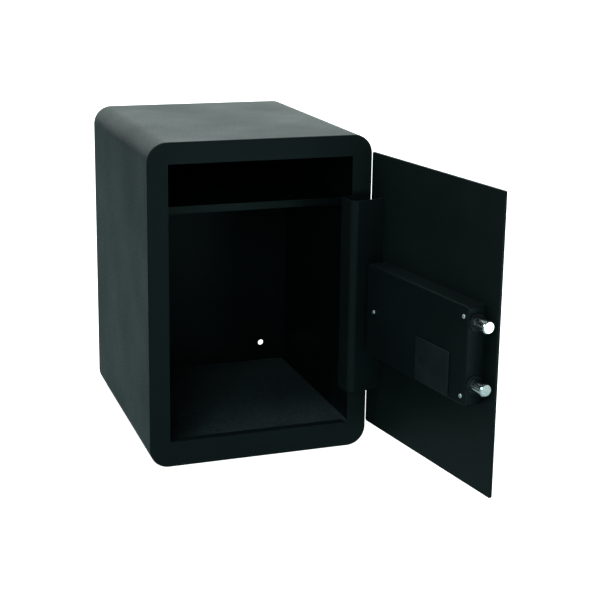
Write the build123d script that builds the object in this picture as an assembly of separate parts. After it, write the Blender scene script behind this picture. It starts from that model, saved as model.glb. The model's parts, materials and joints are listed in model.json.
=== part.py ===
from build123d import *
from math import cos, pi, radians, sin
import os

# Parcel drop box: a steel cabinet with a flapped drop slot in its back, a sloping
# baffle and a front door on a gooseneck hinge. The door carries an electronic lock whose
# two round bolts are drawn in by a knob.
#
# Frame: millimetres, +Z up, origin at the centre of the cabinet's base.
# The cabinet's front faces -Y. The door is modelled shut and is then swung
# open about the hinge pin by door_open_angle, which is the rest pose.

# ---------------------------------------------------------------- driving sizes

# Cabinet
cabinet_width = 350.0
cabinet_depth = 400.0
cabinet_height = 500.0
corner_radius = 30.0            # the four long edges, outside
round_end_flat = 0.01           # left between the two arcs of a round end
sheet = 2.0                     # cabinet sheet steel
edge_radius = 1.9               # front and rear outer edges
side_margin = 31.5              # front frame, beside the opening
top_margin = 32.5
bottom_margin = 40.0
opening_corner = 1.5
return_flange = 14.0            # folded in above and below the opening
flange_end_gap = 3.0

# Rear anchor holes
anchor_radius = 5.0
anchor_spacing = 254.0
anchor_height = 51.0

# Drop slot and baffle
slot_width = 250.0
slot_height = 58.0
slot_top_gap = 38.0             # below the top of the cabinet
slot_corner = 6.0
trim_border = 9.0
trim_thickness = 2.5
trim_round = 1.25
trim_lining = 1.0
flap_rod_radius = 1.5
flap_knuckle = 3.2
flap_rod_rise = 7.0             # above the slot's upper edge
flap_wall_gap = 1.0
flap_plate = 1.5
flap_overlap = 5.0
flap_end_gap = 0.6
flap_bracket = 2.0
baffle_front = 112.0            # from the front face to the lip
baffle_front_drop = 87.0        # below the opening's upper edge
baffle_rear_drop = 8.0          # below the slot's lower edge
baffle_sheet = 1.5
baffle_lip = 12.0
baffle_ear = 16.0
baffle_ear_setback = 20.0       # behind the lip
rivet_radius = 2.4
rivet_head_radius = 4.5
rivet_head = 1.6
rivet_inset = 40.0

# Floor
floor_height = 15.0             # underside of the false floor's deck
floor_clearance = 1.5
floor_edge_gap = 8.0
mat_thickness = 3.0
mat_gap = 2.5
mat_corner = 4.0

# Door panel
door_thickness = 4.0
door_gap = 2.0                  # between the door and the front frame
door_side_overlap = 23.5
door_end_overlap = 4.0
door_corner = 3.0
door_edge = 0.8
door_open_angle = 99.0

# Hinge
pin_radius = 2.0
running = 0.06                  # radial clearance of every turning or sliding fit
knuckle_radius = 4.2
knuckle_wall_gap = 0.5
knuckle_front_gap = 2.0
arm_plate = 3.0
arm_height = 303.0
arm_setback = 35.0              # from the door's hinge edge to the arm's foot
arm_depth = 50.0                # from the front face to the arm's far leg
arm_outer_bend = 10.0
arm_pin_bend = 6.0
arm_foot_gap = 2.0              # from the foot's end to the opening's edge
bracket_plate = 3.0
bracket_width = 17.0
bracket_depth = 20.0
bracket_corner = 5.5
washer_thickness = 1.5
washer_gap = 0.1
pin_head = 2.0
pin_head_radius = 3.4
pin_tail = 3.0
pin_chamfer = 0.5

# Lock box on the door's back
lock_edge_gap = 4.5             # inside the opening's free side
lock_arm_gap = 8.5              # before the hinge arm's foot
lock_rise = 127.0               # above the opening's lower edge
lock_height = 142.0
lock_depth = 30.0
cover_sheet = 1.2
cover_bend = 2.2
chassis_sheet = 1.5
screw_radius = 1.5
screw_head_radius = 3.1
screw_head = 1.7
screw_dome = 0.85
screw_cross = 0.8
screw_cross_depth = 0.85
screw_length = 3.0
free_screw_inset = 9.5
hinge_screw_inset = 21.0
screw_top_inset = 15.0
screw_bottom_inset = 13.0
hinge_screw_rise = 71.0
screw_tab = 10.0
post_radius = 4.0

# Bolts and their carriage
bolt_radius = 9.5
bolt_chamfer = 1.6
bolt_axis_depth = 15.0
bolt_throw = 26.0
bolt_tip_gap = 2.5              # drawn-in tip inside the opening's edge
lower_bolt_rise = 30.0
upper_bolt_rise = 119.0
bolt_tail_gap = 3.0             # thrown bolt's rear end past its bushing
bushing_wall = 1.8
bushing_flange = 1.3
bushing_flange_height = 2.0
bushing_round = 0.65
bushing_depth = 6.0
carriage_depth = 5.0            # underside of the carriage plate
carriage_sheet = 2.0
upright_plate = 3.0
upright_margin = 1.0
carriage_length = 91.0
carriage_margin = 11.0          # above the lock box's lower edge
carriage_top_margin = 5.5
guide_inset = 8.0
guide_offset = 77.0             # from the carriage's free end to its guide screws
guide_radius = 2.5
guide_head_radius = 4.5
guide_head = 1.8
guide_play = 0.4
bolt_screw_radius = 3.0
bolt_screw_head_radius = 4.6
bolt_screw_head = 1.8
bolt_screw_grip = 8.0
keeper_depth = 30.0
keeper_margin = 28.0
keeper_clearance = 2.5

# Knob and crank
knob_offset = 77.0              # from the lock box's free end
knob_rise = 101.0
knob_turn = 90.0
shaft_radius = 5.0
knob_bush_wall = 2.9
knob_bush_flange = 3.0
knob_bush_flange_height = 1.6
knob_gap = 0.6
knob_radius = 21.0
knob_height = 24.0
knob_skirt = 5.0
knob_grip_radius = 17.0
knob_flutes = 10
knob_flute_radius = 4.0
knob_flute_offset = 2.0         # flute's centre outside the grip
knob_shaft_grip = 12.0          # shaft's reach into the knob
pointer_width = 1.6
pointer_depth = 0.8
pointer_inset = 2.0
knob_round = 1.6
cam_plate = 2.3
cam_gap = 0.5
cam_hub_radius = 9.0
crank_pin_radius = 2.5
crank_boss_radius = 5.0
crank_play = 0.8                # each side: the pin's sideways travel isn't quite even
crank_end_play = 1.2
crank_stand = 1.0

# Solenoid and its plunger
tail_length = 50.0
tail_rise = 71.0
tail_height = 20.0
notch_width = 10.0
notch_height = 7.5
plunger_radius = 4.0
plunger_axis_depth = 9.6
plunger_gap = 6.0               # past the carriage's tail
plunger_drop = 1.5
plunger_throw = 7.0
plunger_chamfer = 1.0
plunger_foot_gap = 3.0
plunger_collar_radius = 6.2
plunger_collar = 1.6
solenoid_size = 15.0
solenoid_length = 36.0
solenoid_rise = 12.0
solenoid_wall = 1.5
spring_wire = 0.8
spring_turns = 5
spring_clearance = 0.5

# Battery bay
battery_offset = 39.0           # from the lock box's free end
battery_cover_width = 84.0
battery_cover_height = 64.0
battery_cover_rise = 3.0
battery_cover_corner = 3.0
battery_cover_plate = 1.7
battery_cover_round = 0.85
battery_cover_gap = 0.1
battery_cover_rim = 2.0
battery_rim_depth = 2.4         # room for the rim, above the cells
battery_rim_reach = 1.2         # of the rim, past the cover's sheet
battery_rim_gap = 0.4
battery_window_gap = 0.5
battery_grip_count = 5
battery_grip_pitch = 3.0
battery_grip_inset = 8.0
battery_grip_height = 12.0
battery_grip_line = 1.2
battery_grip_groove = 0.5
cell_radius = 7.1
cell_length = 50.0
cell_nub_radius = 2.6
cell_nub = 1.2
cell_play = 0.2
cell_round = 0.6
cell_nub_root = 1.0             # of the nub, inside the cell's end
cell_count = 4
contact_space = 5.5
contact_plate = 0.5
contact_spring_radius = 3.2
tray_wall = 1.5

# Circuit board
board_width = 70.0
board_height = 52.0
board_thickness = 1.6
board_depth = 12.0
board_corner = 1.6
board_side_gap = 6.0
board_top_gap = 5.0
standoff_radius = 3.0
standoff_inset = 4.5
chip_sizes = [(22.0, 12.0, 2.4), (9.0, 9.0, 1.6), (14.0, 7.0, 6.0)]
chip_start = 12.0
chip_gap = 3.0

# Keypad on the door's outside
keypad_offset = 177.0           # from the lock box's free end
keypad_rise = 83.0
keypad_width = 100.0
keypad_height = 124.0
keypad_depth = 14.0
keypad_corner = 9.0
keypad_wall = 2.5
keypad_round = 2.2
key_width = 18.0
key_height = 13.0
key_corner = 2.5
key_pitch_x = 25.0
key_pitch_z = 22.0
key_block_drop = 6.0
key_stand = 1.6
key_gap = 0.35
key_lip = 1.2
key_lip_height = 1.6
key_lip_play = 0.2
key_travel = 1.2
key_dish = 26.0                 # radius of the finger dish
key_dish_depth = 0.5
key_names = ["7", "8", "9", "4", "5", "6", "1", "2", "3", "star", "0", "hash"]
key_columns = 3
key_board = 1.6
key_board_gap = 1.0
key_board_play = 1.0
membrane = 1.5
lens_radius = 2.4
lens_stand = 0.8
lens_spacing = 12.0
lens_drop = 12.0
cable_hole_radius = 8.0

# Emergency key lock
key_lock_inset = 16.0           # from the lock box's hinge end
key_lock_rise = 33.0
key_lock_radius = 8.0
key_lock_fit = 0.2
key_lock_flange = 3.5
key_lock_flange_height = 2.5
key_lock_round = 0.8
key_lock_depth = 13.0
key_plug_radius = 5.5
keyway_width = 1.4
keyway_height = 7.0
keyway_depth = 9.0
key_nut_across = 20.0
key_nut_height = 4.0
key_cam_length = 20.0
key_cam_width = 8.0
key_cam_plate = 2.0

# ------------------------------------------------------------- places worked out

front = -cabinet_depth / 2
rear = cabinet_depth / 2
half_width = cabinet_width / 2
inner_half = half_width - sheet
opening_left = -half_width + side_margin
opening_right = half_width - side_margin
opening_bottom = bottom_margin
opening_top = cabinet_height - top_margin
frame_back = front + sheet
baffle_front_height = opening_top - baffle_front_drop

door_left = opening_left - door_side_overlap
door_right = opening_right + door_side_overlap
door_bottom = opening_bottom - door_end_overlap
door_top = opening_top + door_end_overlap
door_back = front - door_gap
door_face = door_back - door_thickness

pin_x = inner_half - knuckle_wall_gap - knuckle_radius
pin_y = frame_back + knuckle_front_gap + knuckle_radius
arm_bottom = (door_bottom + door_top - arm_height) / 2
arm_top = arm_bottom + arm_height
arm_x = door_right - arm_setback

lock_left = opening_left + lock_edge_gap
lock_right = arm_x - arm_plate / 2 - lock_arm_gap
lock_bottom = opening_bottom + lock_rise
lock_top = lock_bottom + lock_height
bolt_y = door_back + bolt_axis_depth
bolt_tip = opening_left + bolt_tip_gap - bolt_throw
bolt_rear = lock_left + bushing_depth + bolt_tail_gap
bolt_heights = [lock_bottom + lower_bolt_rise, lock_bottom + upper_bolt_rise]
bushing_radius = bolt_radius + running + bushing_wall

carriage_left = bolt_rear
carriage_right = carriage_left + carriage_length
carriage_y = door_back + carriage_depth
carriage_bottom = lock_bottom + carriage_margin
carriage_top = lock_top - carriage_top_margin

knob_x = lock_left + knob_offset
knob_z = lock_bottom + knob_rise
crank_radius = bolt_throw / 2 / sin(radians(knob_turn / 2))
crank_x = knob_x - bolt_throw / 2
crank_z = knob_z - crank_radius * cos(radians(knob_turn / 2))
crank_low = knob_z - crank_radius
cam_y = carriage_y - cam_gap - cam_plate

tail_right = carriage_right + tail_length
plunger_x = tail_right + plunger_gap
plunger_y = door_back + plunger_axis_depth
plunger_top = lock_bottom + tail_rise - plunger_drop
solenoid_bottom = lock_bottom + solenoid_rise
solenoid_top = solenoid_bottom + solenoid_length

battery_x = lock_left + battery_offset + battery_cover_width / 2
battery_z = lock_bottom + battery_cover_rise + battery_cover_height / 2
tray_inner_width = cell_length + 2 * contact_space
tray_inner_height = cell_count * 2 * (cell_radius + cell_play)
cell_space = 2 * (cell_radius + cell_play)
tray_floor = door_back + lock_depth - cover_sheet - cell_space - battery_rim_depth - tray_wall
cell_y = tray_floor + tray_wall + cell_radius + cell_play
window_width = tray_inner_width - 2 * battery_window_gap
window_height = tray_inner_height - 2 * battery_window_gap

keypad_x = lock_left + keypad_offset
keypad_z = lock_bottom + keypad_rise
keypad_face = door_face - keypad_depth
key_lock_x = lock_right - key_lock_inset
key_lock_z = lock_bottom + key_lock_rise

slot_top = cabinet_height - slot_top_gap
slot_bottom = slot_top - slot_height
slot_z = (slot_top + slot_bottom) / 2
flap_y = rear - sheet - flap_wall_gap - flap_knuckle
flap_z = slot_top + flap_rod_rise

cover_screws = [
    (lock_right - hinge_screw_inset, lock_bottom + hinge_screw_rise),
    (lock_left + free_screw_inset, lock_top - screw_top_inset),
    (lock_left + free_screw_inset, lock_bottom + screw_bottom_inset),
]

parts = {}


# ---------------------------------------------------------------------- helpers

def block(x0, x1, y0, y1, z0, z1):
    """A box between two corners."""
    return Pos((x0 + x1) / 2, (y0 + y1) / 2, (z0 + z1) / 2) * Box(abs(x1 - x0), abs(y1 - y0), abs(z1 - z0))


def plate(x, z, width, height, y0, y1, radius=0.0):
    """A plate facing Y, centred on x and z, with rounded corners."""
    solid = block(x - width / 2, x + width / 2, y0, y1, z - height / 2, z + height / 2)
    return fillet(solid.edges().filter_by(Axis.Y), radius) if radius else solid


def rod_x(y, z, radius, x0, x1):
    return Pos((x0 + x1) / 2, y, z) * Rot(0, 90, 0) * Cylinder(radius, abs(x1 - x0))


def rod_y(x, z, radius, y0, y1):
    return Pos(x, (y0 + y1) / 2, z) * Rot(90, 0, 0) * Cylinder(radius, abs(y1 - y0))


def rod_z(x, y, radius, z0, z1):
    return Pos(x, y, (z0 + z1) / 2) * Cylinder(radius, abs(z1 - z0))


def slot_cut(x, z, width, height, y0, y1):
    """A slot facing Y with fully round ends."""
    return plate(x, z, width, height, y0, y1, min(width, height) / 2 - round_end_flat)


def edges_at(solid, axis, x=None, y=None, z=None, tolerance=0.01):
    """Edges along an axis that pass through the given coordinates."""
    wanted = []
    for edge in solid.edges().filter_by(axis):
        middle = edge.center()
        pairs = ((x, middle.X), (y, middle.Y), (z, middle.Z))
        if all(want is None or abs(want - have) < tolerance for want, have in pairs):
            wanted.append(edge)
    return wanted


def cabinet_part(name, solid):
    parts[name] = solid


def door_part(name, solid):
    """A piece on the door, modelled shut and swung open with it."""
    parts[name] = solid.rotate(Axis((pin_x, pin_y, 0), (0, 0, 1)), door_open_angle)


# ---------------------------------------------------------------------- cabinet

def outer_shell():
    """The wrapped sheet: top, bottom and both sides, round at its long edges."""
    middle = cabinet_height / 2
    outside = plate(0, middle, cabinet_width, cabinet_height, frame_back, rear - sheet, corner_radius)
    inside = plate(0, middle, cabinet_width - 2 * sheet, cabinet_height - 2 * sheet,
                   frame_back, rear - sheet, corner_radius - sheet)
    cabinet_part("outer_shell", outside - inside)


def front_frame():
    """The front face, with a flange folded in above and below the opening."""
    middle = cabinet_height / 2
    face = plate(0, middle, cabinet_width, cabinet_height, front, frame_back, corner_radius)
    face = fillet(face.faces().sort_by(Axis.Y)[0].edges(), edge_radius)
    width = opening_right - opening_left
    height = opening_top - opening_bottom
    opening = plate(0, (opening_top + opening_bottom) / 2, width, height, front, frame_back, opening_corner)
    flange_left = opening_left + flange_end_gap
    flange_right = opening_right - flange_end_gap
    flange_back = front + return_flange
    lower = block(flange_left, flange_right, front + sheet / 2, flange_back,
                  opening_bottom - sheet, opening_bottom)
    upper = block(flange_left, flange_right, front + sheet / 2, flange_back,
                  opening_top, opening_top + sheet)
    cabinet_part("front_frame", (face - opening) + lower + upper)


def back_panel():
    """The rear sheet, with the drop slot and two anchor holes."""
    middle = cabinet_height / 2
    panel = plate(0, middle, cabinet_width, cabinet_height, rear - sheet, rear, corner_radius)
    panel = fillet(panel.faces().sort_by(Axis.Y)[-1].edges(), edge_radius)
    panel -= plate(0, slot_z, slot_width, slot_height, rear - sheet, rear, slot_corner)
    for side in (-1, 1):
        panel -= rod_y(side * anchor_spacing / 2, anchor_height, anchor_radius, rear - sheet, rear)
    cabinet_part("back_panel", panel)


def slot_trim():
    """A smooth border round the drop slot that also lines its cut edge."""
    outer = plate(0, slot_z, slot_width + 2 * trim_border, slot_height + 2 * trim_border,
                  rear, rear + trim_thickness, slot_corner + trim_border)
    outer = fillet(outer.faces().sort_by(Axis.Y)[-1].edges(), trim_round)
    lining = plate(0, slot_z, slot_width, slot_height, rear - sheet, rear, slot_corner)
    through = plate(0, slot_z, slot_width - 2 * trim_lining, slot_height - 2 * trim_lining,
                    rear - sheet, rear + trim_thickness, slot_corner - trim_lining)
    cabinet_part("slot_trim", outer + lining - through)


def slot_flap():
    """A flap that hangs inside the slot from a rod, and swings inwards as a parcel passes."""
    half = slot_width / 2 + flap_overlap
    tube = rod_x(flap_y, flap_z, flap_knuckle, -half, half)
    leaf = block(-half, half, flap_y - flap_plate / 2, flap_y + flap_plate / 2,
                 slot_bottom - flap_overlap, flap_z)
    flap = tube + leaf - rod_x(flap_y, flap_z, flap_rod_radius + running, -half, half)
    cabinet_part("slot_flap", flap)
    rod_end = half + flap_end_gap + flap_bracket
    cabinet_part("flap_rod", rod_x(flap_y, flap_z, flap_rod_radius, -rod_end, rod_end))
    ears = []
    for side in (-1, 1):
        inner = side * (half + flap_end_gap)
        outer = inner + side * flap_bracket
        ear = block(inner, outer, flap_y - flap_knuckle, rear - sheet,
                    flap_z - flap_knuckle, flap_z + flap_knuckle)
        ears.append(ear - rod_x(flap_y, flap_z, flap_rod_radius, inner, outer))
    cabinet_part("flap_brackets", Compound(children=ears))


def baffle_shelf():
    """The sheet that parcels slide down: its lip stops a hand from reaching back up."""
    lip_y = front + baffle_front
    end_y = rear - sheet
    rear_height = slot_bottom - baffle_rear_drop
    half = inner_half
    run = [(lip_y, baffle_front_height - baffle_lip), (lip_y, baffle_front_height),
           (end_y, rear_height), (end_y, rear_height - baffle_sheet),
           (lip_y + baffle_sheet, baffle_front_height - baffle_sheet),
           (lip_y + baffle_sheet, baffle_front_height - baffle_lip)]
    face = make_face(Polyline(*[(-half, y, z) for y, z in run], close=True))
    sheet_solid = extrude(face, amount=2 * half, dir=(1, 0, 0))
    slope = (rear_height - baffle_front_height) / (end_y - lip_y)
    for side in (-1, 1):
        wall = side * half
        inward = wall - side * baffle_sheet
        ear_y = lip_y + baffle_ear_setback
        low = baffle_front_height + slope * (ear_y - lip_y) - baffle_sheet / 2
        ear = [(ear_y, low), (end_y, rear_height - baffle_sheet / 2),
               (end_y, rear_height + baffle_ear), (ear_y, low + baffle_ear)]
        ear_face = make_face(Polyline(*[(min(wall, inward), y, z) for y, z in ear], close=True))
        sheet_solid += extrude(ear_face, amount=baffle_sheet, dir=(1, 0, 0))
    rivets = []
    for side in (-1, 1):
        for y in (lip_y + rivet_inset, end_y - rivet_inset):
            z = baffle_front_height + slope * (y - lip_y) + baffle_ear / 2
            tip = side * half
            sheet_solid -= rod_x(y, z, rivet_radius, tip, tip - side * baffle_sheet)
            head_start = tip - side * baffle_sheet
            head = rod_x(y, z, rivet_head_radius, head_start, head_start - side * rivet_head)
            rivets.append(head + rod_x(y, z, rivet_radius, tip, head_start - side * rivet_head))
    cabinet_part("baffle_shelf", sheet_solid)
    cabinet_part("baffle_rivets", Compound(children=rivets))


def floor():
    """A false floor that spans the shell's round lower corners, and its felt mat."""
    inner_radius = corner_radius - sheet
    rise = inner_radius - (floor_height - sheet)
    reach = inner_half - inner_radius + (inner_radius ** 2 - rise ** 2) ** 0.5 - floor_clearance
    deck_front = frame_back + floor_edge_gap
    deck_rear = rear - sheet - floor_edge_gap
    deck = block(-reach, reach, deck_front, deck_rear, floor_height, floor_height + sheet)
    foot_half = inner_half - inner_radius
    legs = []
    for side in (-1, 1):
        legs.append(block(side * foot_half, side * (foot_half - sheet), deck_front, deck_rear,
                          sheet, floor_height))
    cabinet_part("false_floor", deck + legs[0] + legs[1])
    deck_top = floor_height + sheet
    mat_rise = inner_radius - (deck_top - sheet)
    mat_half = inner_half - inner_radius + (inner_radius ** 2 - mat_rise ** 2) ** 0.5 - mat_gap / 2
    mat_front = frame_back + mat_gap
    mat_rear = rear - sheet - mat_gap
    mat = block(-mat_half, mat_half, mat_front, mat_rear, deck_top, deck_top + mat_thickness)
    cabinet_part("floor_mat", fillet(mat.edges().filter_by(Axis.Z), mat_corner))


def bolt_keeper():
    """An angle behind the free side of the frame: the bolts pass through its two holes."""
    low = bolt_heights[0] - keeper_margin
    high = bolt_heights[1] + keeper_margin
    back = front + keeper_depth
    left = opening_left - sheet
    web = block(left, opening_left, frame_back, back, low, high)
    foot = block(left - bracket_width, opening_left, back - sheet, back, low, high)
    for z in bolt_heights:
        hole = bolt_radius + keeper_clearance
        web -= rod_x(bolt_y, z, hole, left, opening_left)
    shoe = block(left - bracket_width, left, frame_back, frame_back + sheet, high - bracket_width, high)
    shoe += block(left - bracket_width, left, frame_back, frame_back + sheet, low, low + bracket_width)
    cabinet_part("bolt_keeper", web + foot + shoe)


def hinge_brackets():
    """Two plates welded into the corner of frame and side wall, the pin and its washer."""
    right = inner_half
    left = right - bracket_width
    back = frame_back + bracket_depth
    lower_top = arm_bottom - washer_gap - washer_thickness
    upper_bottom = arm_top + washer_gap + washer_thickness
    brackets = (("lower_hinge_bracket", lower_top - bracket_plate), ("upper_hinge_bracket", upper_bottom))
    for name, low in brackets:
        tongue = block(left, right, frame_back, back, low, low + bracket_plate)
        tongue = fillet(edges_at(tongue, Axis.Z, x=left, y=back), bracket_corner)
        cabinet_part(name, tongue - rod_z(pin_x, pin_y, pin_radius, low, low + bracket_plate))
    top = upper_bottom + bracket_plate
    pin = rod_z(pin_x, pin_y, pin_radius, lower_top - bracket_plate - pin_tail, top)
    pin = chamfer(pin.edges().sort_by(Axis.Z)[0], pin_chamfer)
    cabinet_part("hinge_pin", pin + rod_z(pin_x, pin_y, pin_head_radius, top, top + pin_head))
    ring = rod_z(pin_x, pin_y, knuckle_radius, lower_top, lower_top + washer_thickness)
    ring -= rod_z(pin_x, pin_y, pin_radius, lower_top, lower_top + washer_thickness)
    cabinet_part("hinge_washer", ring)


# ------------------------------------------------------------------------- door

def door_panel():
    """The plain overlay plate, pierced for the knob, the keypad's lead and the key lock."""
    x = (door_left + door_right) / 2
    z = (door_bottom + door_top) / 2
    panel = plate(x, z, door_right - door_left, door_top - door_bottom, door_face, door_back, door_corner)
    panel = fillet(panel.faces().sort_by(Axis.Y)[0].edges(), door_edge)
    panel = fillet(panel.faces().sort_by(Axis.Y)[-1].edges(), door_edge)
    bush = shaft_radius + running + knob_bush_wall
    panel -= rod_y(knob_x, knob_z, bush, door_face, door_back)
    panel -= rod_y(keypad_x, keypad_z, cable_hole_radius, door_face, door_back)
    panel -= rod_y(key_lock_x, key_lock_z, key_lock_radius + key_lock_fit, door_face, door_back)
    door_part("door_panel", panel)


def hinge_arm():
    """The gooseneck: a tall bent plate from the door's back round to the hinge pin."""
    half = arm_plate / 2
    far = front + arm_depth + half
    left = arm_x - half
    right = pin_x + half
    low, high = arm_bottom, arm_top
    outside = block(left, right, door_back, far, low, high)
    outside = fillet(edges_at(outside, Axis.Z, x=left, y=far), arm_outer_bend)
    outside = fillet(edges_at(outside, Axis.Z, x=right, y=far), arm_pin_bend)
    inner_left = left + arm_plate
    inner_right = right - arm_plate
    inner_far = far - arm_plate
    inside = block(inner_left, inner_right, door_back, inner_far, low, high)
    inside = fillet(edges_at(inside, Axis.Z, x=inner_left, y=inner_far), arm_outer_bend - arm_plate)
    inside = fillet(edges_at(inside, Axis.Z, x=inner_right, y=inner_far), arm_pin_bend - arm_plate)
    arm = outside - inside - block(inner_right, right, door_back, pin_y, low, high)
    arm += block(left + half, opening_right - arm_foot_gap, door_back, door_back + arm_plate, low, high)
    arm += rod_z(pin_x, pin_y, knuckle_radius, low, high)
    arm -= rod_z(pin_x, pin_y, pin_radius + running, low, high)
    door_part("hinge_arm", arm)


# --------------------------------------------------------------------- lock box

def lock_cover():
    """The folded steel cover, with a window for the batteries."""
    back = door_back + lock_depth
    cover = block(lock_left, lock_right, door_back, back, lock_bottom, lock_top)
    long_edges = cover.faces().sort_by(Axis.Y)[-1].edges() + cover.edges().filter_by(Axis.Y)
    cover = fillet(long_edges, cover_bend)
    inner = block(lock_left + cover_sheet, lock_right - cover_sheet, door_back, back - cover_sheet,
                  lock_bottom + cover_sheet, lock_top - cover_sheet)
    inner_edges = inner.faces().sort_by(Axis.Y)[-1].edges() + inner.edges().filter_by(Axis.Y)
    cover -= fillet(inner_edges, cover_bend - cover_sheet)
    cover -= plate(battery_x, battery_z, window_width, window_height, back - cover_sheet, back)
    for x, z in cover_screws:
        cover -= rod_y(x, z, screw_radius, back - cover_sheet, back)
    for z in bolt_heights:
        cover -= rod_x(bolt_y, z, bushing_radius, lock_left, lock_left + cover_sheet)
    door_part("lock_cover", cover)
    screws = []
    for x, z in cover_screws:
        head = rod_y(x, z, screw_head_radius, back, back + screw_head)
        head = fillet(head.faces().sort_by(Axis.Y)[-1].edges(), screw_dome)
        for width, height in ((screw_cross, 2 * screw_radius), (2 * screw_radius, screw_cross)):
            head -= plate(x, z, width, height, back + screw_head - screw_cross_depth, back + screw_head)
        screws.append(head + rod_y(x, z, screw_radius, back - screw_length - cover_sheet, back))
    door_part("lock_cover_screws", Compound(children=screws))


def lock_chassis():
    """The lock's base plate, with an upright end that carries the bolts' bushings."""
    left = lock_left + cover_bend
    right = lock_right - cover_bend
    low = lock_bottom + cover_bend
    high = lock_top - cover_bend
    top = door_back + lock_depth - cover_sheet
    base = block(left, right, door_back, door_back + chassis_sheet, low, high)
    end_wall = block(left, left + chassis_sheet, door_back, top, low, high)
    chassis = base + end_wall
    reach = screw_tab / 2
    for x, z in cover_screws[1:]:
        chassis += block(left, x + reach, top - chassis_sheet, top, z - reach, z + reach)
    post_x, post_z = cover_screws[0]
    chassis += rod_y(post_x, post_z, post_radius, door_back, top)
    for x, z in cover_screws:
        chassis -= rod_y(x, z, screw_radius, top - screw_length, top)
    for z in bolt_heights:
        chassis -= rod_x(bolt_y, z, bushing_radius, left, left + chassis_sheet)
    base_back = door_back + chassis_sheet
    bush = shaft_radius + running + knob_bush_wall
    chassis -= rod_y(knob_x, knob_z, bush, door_back, base_back)
    chassis -= rod_y(keypad_x, keypad_z, cable_hole_radius, door_back, base_back)
    chassis -= rod_y(key_lock_x, key_lock_z, key_lock_radius + key_lock_fit, door_back, base_back)
    door_part("lock_chassis", chassis)


def bolt_bushings():
    """Two flanged bushes in the end of the lock box, which guide the bolts."""
    bushes = []
    for z in bolt_heights:
        inner_end = lock_left + bushing_depth
        bush = rod_x(bolt_y, z, bushing_radius, lock_left, inner_end)
        flange_start = lock_left - bushing_flange_height
        flange = rod_x(bolt_y, z, bushing_radius + bushing_flange, flange_start, lock_left)
        flange = fillet(flange.faces().sort_by(Axis.X)[0].edges(), bushing_round)
        bore = rod_x(bolt_y, z, bolt_radius + running, flange_start, inner_end)
        bushes.append(bush + flange - bore)
    door_part("bolt_bushings", Compound(children=bushes))


def locking_bolts():
    """The two round bolts, thrown, and the screws that hold them to the carriage."""
    bolts = []
    screws = []
    for z in bolt_heights:
        bolt = rod_x(bolt_y, z, bolt_radius, bolt_tip, bolt_rear)
        bolt = chamfer(bolt.faces().sort_by(Axis.X)[0].edges(), bolt_chamfer)
        bolt -= rod_x(bolt_y, z, bolt_screw_radius, bolt_rear - bolt_screw_grip, bolt_rear)
        bolts.append(bolt)
        head_start = bolt_rear + upright_plate
        screw = rod_x(bolt_y, z, bolt_screw_radius, bolt_rear - bolt_screw_grip, head_start)
        screw += rod_x(bolt_y, z, bolt_screw_head_radius, head_start, head_start + bolt_screw_head)
        screws.append(screw)
    door_part("locking_bolts", Compound(children=bolts))
    door_part("bolt_screws", Compound(children=screws))


def guide_heights():
    return carriage_bottom + guide_inset, carriage_top - guide_inset


def bolt_carriage():
    """The sliding plate: an upright for the bolts, a crank slot, guide slots and a notched tail."""
    top = carriage_y + carriage_sheet
    carriage = block(carriage_left, carriage_right, carriage_y, top, carriage_bottom, carriage_top)
    upright_low = bolt_heights[0] - bolt_radius + upright_margin
    upright_high = bolt_heights[1] + bolt_radius - upright_margin
    carriage += block(carriage_left, carriage_left + upright_plate, carriage_y,
                      bolt_y + bolt_radius - upright_margin, upright_low, upright_high)
    tail_low = lock_bottom + tail_rise
    carriage += block(carriage_right, tail_right, carriage_y, top, tail_low, tail_low + tail_height)
    notch_x = plunger_x - bolt_throw
    carriage -= block(notch_x - notch_width / 2, notch_x + notch_width / 2, carriage_y, top,
                      tail_low, tail_low + notch_height)
    slot_height_z = crank_z - crank_low + 2 * (crank_pin_radius + crank_end_play)
    carriage -= slot_cut(crank_x, (crank_z + crank_low) / 2, 2 * (crank_pin_radius + crank_play),
                         slot_height_z, carriage_y, top)
    for z in guide_heights():
        x = carriage_left + guide_offset - bolt_throw / 2
        carriage -= slot_cut(x, z, bolt_throw + 2 * (guide_radius + guide_play),
                             2 * (guide_radius + guide_play), carriage_y, top)
    for z in bolt_heights:
        carriage -= rod_x(bolt_y, z, bolt_screw_radius, carriage_left, carriage_left + upright_plate)
    door_part("bolt_carriage", carriage)


def carriage_guide_screws():
    """Two shouldered screws on the chassis: the carriage's slots run along them."""
    screws = []
    for z in guide_heights():
        x = carriage_left + guide_offset
        head_start = carriage_y + carriage_sheet + guide_play / 2
        screw = rod_y(x, z, guide_radius, door_back + chassis_sheet, head_start)
        screws.append(screw + rod_y(x, z, guide_head_radius, head_start, head_start + guide_head))
    door_part("carriage_guide_screws", Compound(children=screws))


# ------------------------------------------------------------------------- knob

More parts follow.
